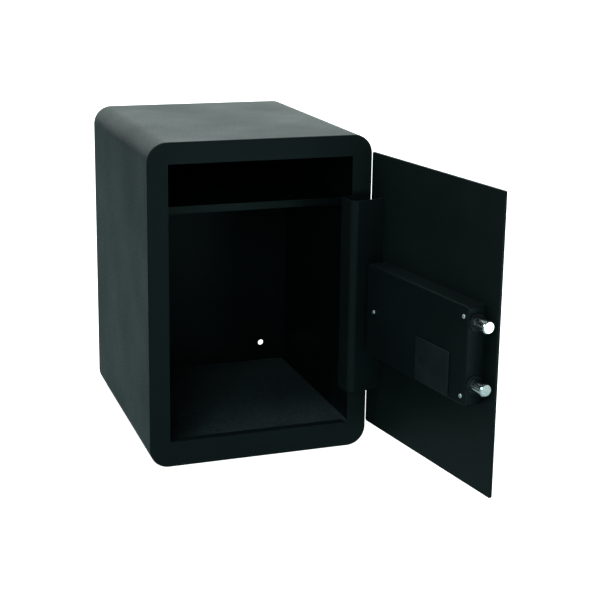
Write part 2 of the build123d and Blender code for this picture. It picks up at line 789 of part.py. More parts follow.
def knob():
    """The outside knob with its shaft, crank and the bush it turns in."""
    bush_radius = shaft_radius + running + knob_bush_wall
    flange_face = door_face - knob_bush_flange_height
    inner_end = door_back + chassis_sheet
    bush = rod_y(knob_x, knob_z, bush_radius, door_face, inner_end)
    bush += rod_y(knob_x, knob_z, bush_radius + knob_bush_flange, flange_face, door_face)
    bush -= rod_y(knob_x, knob_z, shaft_radius + running, flange_face, inner_end)
    door_part("knob_bushing", bush)

    base = flange_face - knob_gap
    face = base - knob_height
    skirt = rod_y(knob_x, knob_z, knob_radius, base - knob_skirt, base)
    skirt = fillet(skirt.faces().sort_by(Axis.Y)[0].edges(), knob_round)
    grip = rod_y(knob_x, knob_z, knob_grip_radius, face, base)
    grip = fillet(grip.faces().sort_by(Axis.Y)[0].edges(), knob_round)
    for index in range(knob_flutes):
        angle = 2 * pi * index / knob_flutes
        reach = knob_grip_radius + knob_flute_offset
        grip -= rod_y(knob_x + reach * sin(angle), knob_z + reach * cos(angle), knob_flute_radius,
                      face, base - knob_skirt)
    shaft_start = base - knob_shaft_grip
    body = skirt + grip - rod_y(knob_x, knob_z, shaft_radius, shaft_start, base)
    pointer = plate(knob_x, knob_z + knob_grip_radius / 2, pointer_width,
                    knob_grip_radius - 2 * pointer_inset, face, face + pointer_depth)
    door_part("knob", body - pointer)
    door_part("knob_shaft", rod_y(knob_x, knob_z, shaft_radius, shaft_start, cam_y))

    cam_back = cam_y + cam_plate
    cam = rod_y(knob_x, knob_z, cam_hub_radius, cam_y, cam_back)
    cam += rod_y(crank_x, crank_z, crank_boss_radius, cam_y, cam_back)
    middle = Pos((knob_x + crank_x) / 2, (cam_y + cam_back) / 2, (knob_z + crank_z) / 2)
    cam += middle * Rot(0, knob_turn / 2, 0) * Box(2 * crank_boss_radius, cam_plate, crank_radius)
    door_part("knob_cam", cam)
    pin_end = carriage_y + carriage_sheet + crank_stand
    door_part("crank_pin", rod_y(crank_x, crank_z, crank_pin_radius, cam_back, pin_end))


# --------------------------------------------------------------------- solenoid

def solenoid():
    """The release magnet: drawn in, its plunger frees the carriage; let go, it blocks the tail."""
    half = solenoid_size / 2
    coil = block(plunger_x - half, plunger_x + half, door_back + chassis_sheet,
                 plunger_y + half, solenoid_bottom, solenoid_top)
    coil = fillet(coil.edges().filter_by(Axis.Z), solenoid_wall)
    bore = plunger_radius + running
    coil -= rod_z(plunger_x, plunger_y, bore, solenoid_bottom + solenoid_wall, solenoid_top)
    door_part("solenoid_coil", coil)

    foot = solenoid_bottom + solenoid_wall + plunger_foot_gap
    collar_top = plunger_top - plunger_collar
    plunger = rod_z(plunger_x, plunger_y, plunger_radius, foot, plunger_top)
    plunger = chamfer(plunger.edges().sort_by(Axis.Z)[-1], plunger_chamfer)
    collar_low = collar_top - plunger_throw - plunger_collar
    plunger += rod_z(plunger_x, plunger_y, plunger_collar_radius, collar_low, collar_low + plunger_collar)
    door_part("solenoid_plunger", plunger)

    clear = spring_clearance
    coil_height = collar_low - solenoid_top - 2 * clear - spring_wire
    coil_radius = plunger_radius + clear + spring_wire
    path = Pos(plunger_x, plunger_y, solenoid_top + clear + spring_wire / 2) * Helix(
        coil_height / spring_turns, coil_height, coil_radius)
    section = Plane(origin=path @ 0, z_dir=path % 0) * Circle(spring_wire / 2)
    door_part("plunger_spring", sweep(section, path=path))


# ------------------------------------------------------------------ battery bay

def battery_bay():
    """The tray with its cells and contacts, and the cover that pulls off."""
    inner_w = tray_inner_width
    inner_h = tray_inner_height
    top = door_back + lock_depth - cover_sheet
    tray = plate(battery_x, battery_z, inner_w + 2 * tray_wall, inner_h + 2 * tray_wall, tray_floor, top)
    tray -= plate(battery_x, battery_z, inner_w, inner_h, tray_floor + tray_wall, top)
    door_part("battery_holder", tray)

    cells = []
    contacts = []
    for index in range(cell_count):
        z = battery_z + (index - (cell_count - 1) / 2) * 2 * (cell_radius + cell_play)
        turn = 1 if index % 2 else -1
        start = battery_x - turn * cell_length / 2
        cell = rod_x(cell_y, z, cell_radius, start, start + turn * (cell_length - cell_nub))
        cell = fillet(cell.edges(), cell_round)
        nub_start = start + turn * (cell_length - cell_nub - cell_nub_root)
        cell += rod_x(cell_y, z, cell_nub_radius, nub_start, start + turn * cell_length)
        cells.append(cell)
        for side in (-1, 1):
            wall = battery_x + side * inner_w / 2
            inner_face = wall - side * contact_plate
            half = cell_radius - cell_play
            leaf = block(wall, inner_face, cell_y - half, cell_y + half, z - half, z + half)
            reach = battery_x + side * cell_length / 2
            cone = Pos((inner_face + reach) / 2, cell_y, z) * Rot(0, -90 * side, 0) * Cone(
                contact_spring_radius, cell_nub_radius, abs(reach - inner_face))
            contacts.append(leaf + cone)
    door_part("battery_cells", Compound(children=cells))
    door_part("battery_contacts", Compound(children=contacts))

    seat = door_back + lock_depth + battery_cover_gap
    lid = plate(battery_x, battery_z, battery_cover_width, battery_cover_height,
                seat, seat + battery_cover_plate, battery_cover_corner)
    lid = fillet(lid.faces().sort_by(Axis.Y)[-1].edges(), battery_cover_round)
    rim_w = window_width - 2 * battery_rim_gap
    rim_h = window_height - 2 * battery_rim_gap
    rim_start = seat - cover_sheet - battery_rim_reach
    rim = plate(battery_x, battery_z, rim_w, rim_h, rim_start, seat)
    rim -= plate(battery_x, battery_z, rim_w - 2 * battery_cover_rim, rim_h - 2 * battery_cover_rim,
                 rim_start, seat)
    lid += rim
    for index in range(battery_grip_count):
        x = battery_x + battery_cover_width / 2 - battery_grip_inset - index * battery_grip_pitch
        face = seat + battery_cover_plate
        lid -= plate(x, battery_z, battery_grip_line, battery_grip_height, face - battery_grip_groove, face)
    door_part("battery_cover", lid)


# ---------------------------------------------------------------- circuit board

def circuit_board():
    """The lock's controller on four standoffs."""
    right = lock_right - board_side_gap
    left = right - board_width
    top = lock_top - board_top_gap
    low = top - board_height
    back = door_back + board_depth
    board = block(left, right, back, back + board_thickness, low, top)
    board = fillet(board.edges().filter_by(Axis.Y), board_corner)
    x = left + chip_start
    for width, height, rise in chip_sizes:
        chip = block(x, x + width, back + board_thickness, back + board_thickness + rise,
                     low + board_height / 2 - height / 2, low + board_height / 2 + height / 2)
        board += chip
        x += width + chip_gap
    door_part("circuit_board", board)
    posts = []
    for x in (left + standoff_inset, right - standoff_inset):
        for z in (low + standoff_inset, top - standoff_inset):
            posts.append(rod_y(x, z, standoff_radius, door_back + chassis_sheet, back))
    door_part("board_standoffs", Compound(children=posts))


# ----------------------------------------------------------------------- keypad

def key_places():
    """Each key's name with its centre."""
    rows = len(key_names) // key_columns
    for index, name in enumerate(key_names):
        column = index % key_columns
        row = index // key_columns
        x = keypad_x + (column - (key_columns - 1) / 2) * key_pitch_x
        z = keypad_z - key_block_drop + ((rows - 1) / 2 - row) * key_pitch_z
        yield name, x, z


def keypad():
    """The keypad's housing, board, rubber sheet, lamps and its sprung keys."""
    housing = plate(keypad_x, keypad_z, keypad_width, keypad_height, keypad_face, door_face, keypad_corner)
    housing = fillet(housing.faces().sort_by(Axis.Y)[0].edges(), keypad_round)
    skin = keypad_face + keypad_wall
    housing -= plate(keypad_x, keypad_z, keypad_width - 2 * keypad_wall, keypad_height - 2 * keypad_wall,
                     skin, door_face, keypad_corner - keypad_wall)
    for name, x, z in key_places():
        housing -= plate(x, z, key_width + 2 * key_gap, key_height + 2 * key_gap,
                         keypad_face, skin, key_corner + key_gap)
    lens_z = keypad_z + keypad_height / 2 - lens_drop
    lenses = []
    for side in (-1, 1):
        x = keypad_x + side * lens_spacing / 2
        housing -= rod_y(x, lens_z, lens_radius, keypad_face, skin)
        lens = rod_y(x, lens_z, lens_radius, keypad_face - lens_stand, skin)
        lenses.append(fillet(lens.faces().sort_by(Axis.Y)[0].edges(), lens_stand))
    door_part("keypad_housing", housing)
    door_part("status_lenses", Compound(children=lenses))

    board_w = keypad_width - 2 * (keypad_wall + key_board_play)
    board_h = keypad_height - 2 * (keypad_wall + key_board_play)
    board_back = door_face - key_board_gap
    board_front = board_back - key_board
    corner = keypad_corner - keypad_wall - key_board_play
    door_part("keypad_board", plate(keypad_x, keypad_z, board_w, board_h, board_front, board_back, corner))
    sheet_front = board_front - membrane
    rubber_sheet = plate(keypad_x, keypad_z, board_w, board_h, sheet_front, board_front, corner)
    door_part("keypad_membrane", rubber_sheet)

    cap_face = keypad_face - key_stand
    cap_back = sheet_front - key_travel - key_lip_play
    for name, x, z in key_places():
        cap = plate(x, z, key_width, key_height, cap_face, cap_back, key_corner)
        cap = fillet(cap.faces().sort_by(Axis.Y)[0].edges(), key_dish_depth)
        ball = Pos(x, cap_face - key_dish + key_dish_depth, z) * Sphere(key_dish)
        lip_front = skin + key_lip_play
        lip = plate(x, z, key_width + 2 * key_lip, key_height + 2 * key_lip,
                    lip_front, lip_front + key_lip_height, key_corner)
        door_part("key_" + name, cap - ball + lip)


# --------------------------------------------------------------------- key lock

def key_lock():
    """The emergency lock: a cylinder clamped through the door, with a turning plug and cam."""
    flange_face = door_face - key_lock_flange_height
    body_end = door_back + key_lock_depth
    body = rod_y(key_lock_x, key_lock_z, key_lock_radius, door_face, body_end)
    flange = rod_y(key_lock_x, key_lock_z, key_lock_radius + key_lock_flange, flange_face, door_face)
    flange = fillet(flange.faces().sort_by(Axis.Y)[0].edges(), key_lock_round)
    bore = rod_y(key_lock_x, key_lock_z, key_plug_radius + running, flange_face, body_end)
    door_part("key_lock_body", body + flange - bore)

    nut_start = door_back + chassis_sheet
    nut_plane = Plane(origin=(key_lock_x, nut_start, key_lock_z), x_dir=(1, 0, 0), z_dir=(0, 1, 0))
    hexagon = nut_plane * RegularPolygon(key_nut_across / 2, 6, major_radius=False)
    nut = extrude(hexagon, amount=key_nut_height)
    nut -= rod_y(key_lock_x, key_lock_z, key_lock_radius, nut_start, nut_start + key_nut_height)
    door_part("key_lock_nut", nut)

    plug = rod_y(key_lock_x, key_lock_z, key_plug_radius, flange_face, body_end + key_lock_fit)
    plug -= plate(key_lock_x, key_lock_z, keyway_width, keyway_height,
                  flange_face, flange_face + keyway_depth)
    door_part("key_lock_plug", plug)
    cam_start = body_end + key_lock_fit
    cam_z = key_lock_z + (key_cam_length - key_cam_width) / 2
    cam = slot_cut(key_lock_x, cam_z, key_cam_width, key_cam_length, cam_start, cam_start + key_cam_plate)
    door_part("key_lock_cam", cam)


outer_shell()
front_frame()
back_panel()
slot_trim()
slot_flap()
baffle_shelf()
floor()
bolt_keeper()
hinge_brackets()
door_panel()
hinge_arm()
lock_cover()
lock_chassis()
bolt_bushings()
locking_bolts()
bolt_carriage()
carriage_guide_screws()
knob()
solenoid()
battery_bay()
circuit_board()
keypad()
key_lock()

os.makedirs("parts", exist_ok=True)
for node, solid in parts.items():
    export_step(solid, f"parts/{node}.step")
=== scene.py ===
import bmesh
import bpy
import json
import math
from mathutils import Matrix, Vector, noise
from mathutils.bvhtree import BVHTree

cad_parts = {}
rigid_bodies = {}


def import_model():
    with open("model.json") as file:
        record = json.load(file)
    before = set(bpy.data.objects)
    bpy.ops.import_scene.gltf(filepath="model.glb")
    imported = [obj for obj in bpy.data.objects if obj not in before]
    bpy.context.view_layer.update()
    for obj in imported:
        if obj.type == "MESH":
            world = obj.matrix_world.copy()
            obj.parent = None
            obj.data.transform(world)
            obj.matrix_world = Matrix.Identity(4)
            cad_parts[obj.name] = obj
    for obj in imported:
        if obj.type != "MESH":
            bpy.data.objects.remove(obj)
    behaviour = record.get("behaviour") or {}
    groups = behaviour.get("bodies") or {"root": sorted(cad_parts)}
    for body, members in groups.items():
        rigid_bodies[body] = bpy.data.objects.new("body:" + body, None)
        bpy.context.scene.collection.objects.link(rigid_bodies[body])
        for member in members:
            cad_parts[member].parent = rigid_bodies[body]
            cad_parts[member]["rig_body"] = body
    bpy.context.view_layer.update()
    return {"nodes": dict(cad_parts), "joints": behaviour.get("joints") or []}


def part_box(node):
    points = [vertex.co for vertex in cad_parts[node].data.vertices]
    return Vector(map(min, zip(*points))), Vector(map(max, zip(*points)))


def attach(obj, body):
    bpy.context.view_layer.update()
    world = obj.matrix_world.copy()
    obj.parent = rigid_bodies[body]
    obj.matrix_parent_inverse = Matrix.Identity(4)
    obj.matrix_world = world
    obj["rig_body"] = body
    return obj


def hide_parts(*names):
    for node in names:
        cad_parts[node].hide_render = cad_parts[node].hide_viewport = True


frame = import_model()
nodes = frame["nodes"]
scene = bpy.context.scene
MM = 0.001


# ------------------------------------------------------------------ node helpers

class Shader:
    """Builds one node material: object coordinates in, a Principled surface out."""

    MIX_INPUTS, MIX_RESULT = (0, 6, 7), 2  # a colour mix's factor, first and second colour, and its result

    def __init__(self, name):
        self.mat = bpy.data.materials.new(name)
        self.mat.use_nodes = True
        self.tree = self.mat.node_tree
        self.tree.nodes.clear()
        out = self.add("ShaderNodeOutputMaterial")
        self.bsdf = self.add("ShaderNodeBsdfPrincipled")
        self.link(self.bsdf.outputs["BSDF"], out.inputs["Surface"])
        self.place = self.add("ShaderNodeTexCoord").outputs["Object"]

    def add(self, kind, **settings):
        node = self.tree.nodes.new(kind)
        for key, value in settings.items():
            setattr(node, key, value)
        return node

    def link(self, a, b):
        self.tree.links.new(a, b)

    def feed(self, socket, value):
        """Sets a socket to a number or a colour, or links another node's output to it."""
        if isinstance(value, float):
            socket.default_value = value
        elif isinstance(value, tuple):
            socket.default_value = (*value, 1.0)
        else:
            self.link(value, socket)

    def stretched(self, scale):
        """The object coordinates, scaled differently along each axis."""
        node = self.add("ShaderNodeMapping")
        node.inputs["Scale"].default_value = scale
        self.link(self.place, node.inputs["Vector"])
        return node.outputs["Vector"]

    def noise(self, scale, detail=3.0, rough=0.5, place=None, distortion=0.0):
        node = self.add("ShaderNodeTexNoise")
        node.inputs["Scale"].default_value = scale
        node.inputs["Detail"].default_value = detail
        node.inputs["Roughness"].default_value = rough
        node.inputs["Distortion"].default_value = distortion
        self.link(place or self.place, node.inputs["Vector"])
        return node.outputs["Fac"]

    def cells(self, scale):
        """The distance to the nearest of many scattered points."""
        node = self.add("ShaderNodeTexVoronoi")
        node.inputs["Scale"].default_value = scale
        self.link(self.place, node.inputs["Vector"])
        return node.outputs["Distance"]

    def ramp(self, value, first, last, start=0.3, end=0.7):
        """Maps start to end of a value onto two colours."""
        node = self.add("ShaderNodeValToRGB")
        for element, at, shade in zip(node.color_ramp.elements, (start, end), (first, last)):
            element.position = at
            element.color = (*shade, 1.0)
        self.link(value, node.inputs["Fac"])
        return node.outputs["Color"]

    def spread(self, value, low, high, start=0.3, end=0.7):
        """Maps start to end of a value onto low to high."""
        node = self.add("ShaderNodeMapRange")
        for key, number in zip(("From Min", "From Max", "To Min", "To Max"), (start, end, low, high)):
            node.inputs[key].default_value = number
        self.link(value, node.inputs["Value"])
        return node.outputs["Result"]

    def mix(self, factor, a, b):
        node = self.add("ShaderNodeMix", data_type="RGBA")
        for index, value in zip(self.MIX_INPUTS, (factor, a, b)):
            self.feed(node.inputs[index], value)
        return node.outputs[self.MIX_RESULT]

    def maths(self, operation, a, b):
        node = self.add("ShaderNodeMath", operation=operation)
        for socket, value in zip(node.inputs, (a, b)):
            self.feed(socket, value)
        return node.outputs[0]

    def bump(self, height, distance, strength=1.0, before=None):
        node = self.add("ShaderNodeBump")
        node.inputs["Distance"].default_value = distance
        node.inputs["Strength"].default_value = strength
        self.link(height, node.inputs["Height"])
        if before is not None:
            self.link(before, node.inputs["Normal"])
        return node.outputs["Normal"]

    def edge(self, radius):
        """A normal rounded at the edges, as paint and plating round a cut edge."""
        node = self.add("ShaderNodeBevel", samples=4)
        node.inputs["Radius"].default_value = radius
        return node.outputs["Normal"]

    def finish(self, colour, rough, normal=None, **fixed):
        """Feeds the surface's main inputs and sets any others by name."""
        for name, value in (("Base Color", colour), ("Roughness", rough), ("Normal", normal)):
            if value is not None:
                self.feed(self.bsdf.inputs[name], value)
        for name, value in fixed.items():
            self.bsdf.inputs[name.replace("_", " ")].default_value = value
        return self.mat


def tinted(shade, factor):
    return tuple(channel * factor for channel in shade)


# ------------------------------------------------------------------- materials

COAT = (0.0050, 0.0078, 0.0080)
COAT_SHINE = (0.84, 1.0, 0.98, 1.0)


def powder_coat(name="powder_coat", shade=COAT, rough=(0.40, 0.50), grain=0.045 * MM, rounding=0.7 * MM,
                gloss=0.12):
    """Satin powder paint: fine orange peel over a slow waviness, a few dust nibs, softer at the edges."""
    s = Shader(name)
    slow = s.noise(7.0, 2.0)
    peel = s.noise(330.0, 3.0, 0.65)
    fine = s.noise(900.0, 2.0, 0.6)
    nibs = s.spread(s.cells(210.0), 1.0, 0.0, start=0.02, end=0.09)
    darker, lighter, speck = (tinted(shade, factor) for factor in (0.86, 1.16, 2.1))
    colour = s.ramp(slow, darker, lighter)
    colour = s.mix(s.spread(fine, 0.0, 0.35, start=0.45, end=0.8), colour, speck)
    roughness = s.maths("ADD", s.spread(slow, *rough), s.spread(peel, -0.06, 0.06))
    waviness, peel_height, dust_height = 0.6 * MM, grain * 4.0, grain * 2.2
    normal = s.bump(slow, waviness, 0.5, s.edge(rounding))
    normal = s.bump(peel, peel_height, 1.0, normal)
    normal = s.bump(s.maths("ADD", fine, s.maths("MULTIPLY", nibs, 0.6)), dust_height, 1.0, normal)
    return s.finish(colour, roughness, normal, Specular_IOR_Level=gloss, Specular_Tint=COAT_SHINE)


def felt():
    """Flecked needle felt: tangled fibres, a mottled pile and scattered lighter fibres."""
    s = Shader("floor_felt")
    pile = s.noise(330.0, 5.0, 0.7)
    tuft = s.noise(150.0, 6.0, 0.75, distortion=0.6)
    fleck = s.noise(1300.0, 2.0, 0.7, distortion=1.2)
    along = s.noise(260.0, 4.0, 0.7, s.stretched((1.0, 4.0, 1.0)), distortion=2.0)
    mottle = s.noise(16.0, 3.0)
    colour = s.ramp(tuft, (0.0030, 0.0050, 0.0056), (0.027, 0.040, 0.044), start=0.38, end=0.64)
    colour = s.mix(s.spread(fleck, 0.0, 0.8, start=0.54, end=0.70), colour, (0.14, 0.18, 0.19))
    colour = s.mix(s.spread(mottle, 0.0, 0.4), colour, (0.006, 0.010, 0.011))
    height = s.maths("ADD", s.maths("ADD", pile, tuft), s.maths("MULTIPLY", along, 0.7))
    normal = s.bump(height, 1.1 * MM)
    normal = s.bump(fleck, 0.3 * MM, 0.8, normal)
    return s.finish(colour, s.spread(pile, 0.86, 0.98), normal, Specular_IOR_Level=0.15, Sheen_Weight=0.12,
                    Sheen_Roughness=0.5, Sheen_Tint=(0.55, 0.68, 0.70, 1.0))


def chrome():
    """Bright chrome with faint turning marks and a few wiped smears."""
    s = Shader("chrome")
    rings = s.noise(420.0, 2.0, 0.5, s.stretched((5.0, 5.0, 0.35)))
    smear = s.noise(60.0, 4.0, 0.6)
    colour = s.ramp(smear, (0.66, 0.68, 0.68), (0.80, 0.82, 0.82), start=0.35)
    rough = s.maths("ADD", s.spread(smear, 0.07, 0.17), s.spread(rings, 0.0, 0.05))
    return s.finish(colour, rough, s.bump(rings, 0.02 * MM, 0.6, s.edge(0.4 * MM)), Metallic=1.0)


def zinc():
    """Zinc-plated steel: a fine spangle, dulled to a satin, with rolling lines."""
    s = Shader("zinc_steel")
    spangle = s.cells(260.0)
    rolled = s.noise(500.0, 2.0, 0.5, s.stretched((0.25, 0.25, 3.0)))
    dull = s.noise(45.0, 4.0, 0.6)
    colour = s.ramp(spangle, (0.70, 0.73, 0.74), (0.86, 0.88, 0.88), start=0.1, end=0.6)
    colour = s.mix(s.spread(dull, 0.0, 0.3), colour, (0.40, 0.42, 0.43))
    rough = s.maths("ADD", s.spread(dull, 0.36, 0.50), s.spread(rolled, -0.03, 0.05))
    return s.finish(colour, rough, s.bump(rolled, 0.03 * MM, 0.7, s.edge(0.3 * MM)), Metallic=1.0)


def plastic(name, shade, gloss, rough=(0.38, 0.5)):
    """Moulded plastic with a spark-eroded grain and slow sink and flow marks."""
    s = Shader(name)
    spark_grain = s.cells(1900.0)
    flow = s.noise(28.0, 3.0)
    darker, lighter, speck = (tinted(shade, factor) for factor in (0.88, 1.15, 1.8))
    colour = s.ramp(flow, darker, lighter)
    colour = s.mix(s.spread(spark_grain, 0.25, 0.0, start=0.1, end=0.5), colour, speck)
    normal = s.bump(flow, 0.2 * MM, 0.3, s.edge(0.4 * MM))
    normal = s.bump(spark_grain, 0.05 * MM, 0.9, normal)
    return s.finish(colour, s.spread(flow, *rough), normal, Specular_IOR_Level=gloss)


def rubber():
    """Matt moulded rubber with a faint bloom."""
    s = Shader("rubber")
    bloom = s.noise(40.0, 4.0)
    grit = s.noise(1400.0, 2.0)
    colour = s.ramp(bloom, (0.012, 0.013, 0.014), (0.030, 0.032, 0.034))
    return s.finish(colour, s.spread(bloom, 0.62, 0.8), s.bump(grit, 0.05 * MM, 0.8))


def lens():
    """Smoked lamp lens with a faint swirl inside."""
    s = Shader("lamp_lens")
    swirl = s.noise(400.0, 2.0)
    colour = s.ramp(swirl, (0.03, 0.10, 0.035), (0.06, 0.20, 0.07))
    return s.finish(colour, s.spread(swirl, 0.12, 0.24), s.bump(swirl, 0.03 * MM, 0.5), Transmission_Weight=0.35,
                    Coat_Weight=0.4)


def board():
    """Green solder mask over etched copper, with raised tracks."""
    s = Shader("board")
    tracks = s.add("ShaderNodeTexBrick", offset=0.37, squash=0.6)
    tracks.inputs["Scale"].default_value = 130.0
    tracks.inputs["Mortar Size"].default_value = 0.06
    turned = s.add("ShaderNodeMapping")
    turned.inputs["Rotation"].default_value = (math.pi / 2, 0.0, math.radians(9.0))
    s.link(s.place, turned.inputs["Vector"])
    s.link(turned.outputs["Vector"], tracks.inputs["Vector"])
    cloth = s.noise(900.0, 2.0)
    colour = s.mix(tracks.outputs["Fac"], (0.012, 0.060, 0.026), (0.028, 0.115, 0.050))
    colour = s.mix(s.spread(cloth, 0.0, 0.25), colour, (0.01, 0.04, 0.02))
    return s.finish(colour, s.spread(cloth, 0.26, 0.40), s.bump(tracks.outputs["Fac"], 0.06 * MM, 0.8))


def coil_wrap():
    """Amber tape wound round a coil: overlapping turns, a slight gloss."""
    s = Shader("coil_wrap")
    turns = s.add("ShaderNodeTexWave", bands_direction="Z", wave_profile="SAW")
    turns.inputs["Scale"].default_value = 60.0
    turns.inputs["Distortion"].default_value = 0.3
    s.link(s.place, turns.inputs["Vector"])
    wrinkle = s.noise(300.0, 3.0)
    colour = s.mix(turns.outputs["Fac"], (0.33, 0.15, 0.020), (0.47, 0.24, 0.045))
    return s.finish(colour, s.spread(wrinkle, 0.24, 0.42), s.bump(turns.outputs["Fac"], 0.1 * MM, 0.7))


def sleeve():
    """Shrink sleeve of a plain cell: dark, glossy, with one copper-coloured band."""
    s = Shader("cell_sleeve")
    wrinkle = s.noise(260.0, 3.0)
    colour = s.ramp(wrinkle, (0.020, 0.022, 0.026), (0.036, 0.038, 0.044))
    axis = s.add("ShaderNodeSeparateXYZ")
    s.link(s.place, axis.inputs["Vector"])
    low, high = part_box("battery_cells")
    length, band_at, band_half = high.y - low.y, 0.75, 0.155
    band = s.maths("COMPARE", axis.outputs["Y"], low.y + band_at * length)
    band.node.inputs[2].default_value = band_half * length
    colour = s.mix(band, colour, (0.42, 0.19, 0.08))
    return s.finish(colour, s.spread(wrinkle, 0.2, 0.32), s.bump(wrinkle, 0.04 * MM, 0.6), Coat_Weight=0.2)


def brass():
    """Nickelled brass of the key lock, slightly tarnished."""
    s = Shader("lock_brass")
    turned = s.noise(700.0, 2.0)
    tarnish = s.noise(70.0, 4.0)
    colour = s.ramp(tarnish, (0.46, 0.45, 0.41), (0.62, 0.60, 0.55))
    normal = s.bump(turned, 0.02 * MM, 0.6, s.edge(0.3 * MM))
    return s.finish(colour, s.spread(tarnish, 0.2, 0.34), normal, Metallic=1.0)


def legend():
    """Printed key legend: off-white ink, slightly worn."""
    s = Shader("key_legend")
    wear = s.noise(900.0, 3.0)
    colour = s.ramp(wear, (0.45, 0.47, 0.47), (0.70, 0.72, 0.72), start=0.35, end=0.6)
    return s.finish(colour, s.spread(wear, 0.45, 0.6), s.bump(wear, 0.02 * MM, 0.6))


finishes = {
    "powder_coat": powder_coat(),
    "lock_coat": powder_coat("lock_coat", (0.0040, 0.0063, 0.0067), rough=(0.40, 0.48), grain=0.03 * MM,
                             rounding=1.0 * MM, gloss=0.11),
    "floor_felt": felt(),
    "chrome": chrome(),
    "zinc_steel": zinc(),
    "black_plastic": plastic("black_plastic", (0.0060, 0.0095, 0.0102), gloss=0.22),
    "key_plastic": plastic("key_plastic", (0.026, 0.030, 0.032), gloss=0.35, rough=(0.42, 0.52)),
    "lamp_lens": lens(),
    "board": board(),
    "coil_wrap": coil_wrap(),
    "cell_sleeve": sleeve(),
    "rubber": rubber(),
    "lock_brass": brass(),
}
for node in nodes.values():
    for i, packed in enumerate(node.data.materials):
        node.data.materials[i] = finishes[packed.name.split(".")[0]]


# -------------------------------------------------------------------- floor mat

def mesh_object(name, bm, material):
    mesh = bpy.data.meshes.new(name)
    bm.to_mesh(mesh)
    bm.free()
    mesh.materials.append(material)
    obj = bpy.data.objects.new(name, mesh)
    scene.collection.objects.link(obj)
    return obj


def felt_mat():
    """The loose felt sheet: a closed slab whose pile is slightly uneven and whose cut edges are soft."""
    low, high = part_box("floor_mat")
    size = high - low
    centre = ((low + high) / 2).to_2d().to_3d()
    cell, corner, inset = 2.0 * MM, 4.0 * MM, 0.3 * MM
    edge_fall, edge_lift = 1.3 * MM, 0.15
    below_top, above_base = 0.5 * MM, 0.1 * MM
    waver_height, waver_scale, waver_start = 0.35 * MM, 14, 20.0 * MM
    tuft_height, tuft_scale = 0.16 * MM, 260
    count_x, count_y = int(size.x / cell), int(size.y / cell)
    half_x, half_y = size.x / 2 - inset, size.y / 2 - inset
    bm = bmesh.new()
    verts = {}
    for top in (False, True):
        for i in range(count_x + 1):
            for j in range(count_y + 1):
                x, y = (2 * i / count_x - 1) * half_x, (2 * j / count_y - 1) * half_y
                over_x, over_y = max(0.0, abs(x) - half_x + corner), max(0.0, abs(y) - half_y + corner)
                if over_x and over_y:
                    pull = 1 - max(over_x, over_y) / math.hypot(over_x, over_y)
                    x -= math.copysign(over_x * pull, x)
                    y -= math.copysign(over_y * pull, y)
                edge = min(half_x - abs(x), half_y - abs(y))
                fall = max(0.0, 1 - edge / (2 * cell)) ** 2 * edge_fall
                if top:
                    waver = noise.fractal(Vector((x, y, 0.3)) * waver_scale, 1.0, 2.0, 3) * waver_height
                    tuft = noise.noise(Vector((x, y, 0.7)) * tuft_scale) * tuft_height
                    z = size.z - below_top - fall + waver * min(1.0, edge / waver_start) + tuft
                    z = min(z, size.z)
                else:
                    z = above_base + fall * edge_lift
                verts[top, i, j] = bm.verts.new(centre + Vector((x, y, low.z + z)))
    for i in range(count_x):
        for j in range(count_y):
            loop = [(i, j), (i + 1, j), (i + 1, j + 1), (i, j + 1)]
            bm.faces.new([verts[False, a, b] for a, b in loop[::-1]])
            bm.faces.new([verts[True, a, b] for a, b in loop])
    rim = [(i, 0) for i in range(count_x)] + [(count_x, j) for j in range(count_y)]
    rim += [(i, count_y) for i in range(count_x, 0, -1)] + [(0, j) for j in range(count_y, 0, -1)]
    for (a, b), (c, d) in zip(rim, rim[1:] + rim[:1]):
        bm.faces.new([verts[False, a, b], verts[False, c, d], verts[True, c, d], verts[True, a, b]])
    mat = mesh_object("felt_mat", bm, finishes["floor_felt"])
    mat.data.shade_smooth()
    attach(mat, "cabinet")
    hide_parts("floor_mat")


felt_mat()


# ------------------------------------------------------------------ key legends

def facing(points, out, across):
    """Middle across, middle height and outermost distance of a key's face."""
    sides = [p.dot(across) for p in points]
    heights = [p.z for p in points]
    return (min(sides) + max(sides)) / 2, (min(heights) + max(heights)) / 2, max(p.dot(out) for p in points)


def text_mesh(text, size):
    """A flat mesh of one sign in the built-in font."""
    curve = bpy.data.curves.new("text", "FONT")
    curve.body = text
    curve.size = size
    curve.align_x, curve.align_y = "CENTER", "CENTER"
    curve.resolution_u = 6
    flat = bpy.data.objects.new("text", curve)
    scene.collection.objects.link(flat)
    bpy.context.view_layer.update()
    mesh = bpy.data.meshes.new_from_object(flat.evaluated_get(bpy.context.evaluated_depsgraph_get()))
    bpy.data.objects.remove(flat)
    bpy.data.curves.remove(curve)
    return mesh


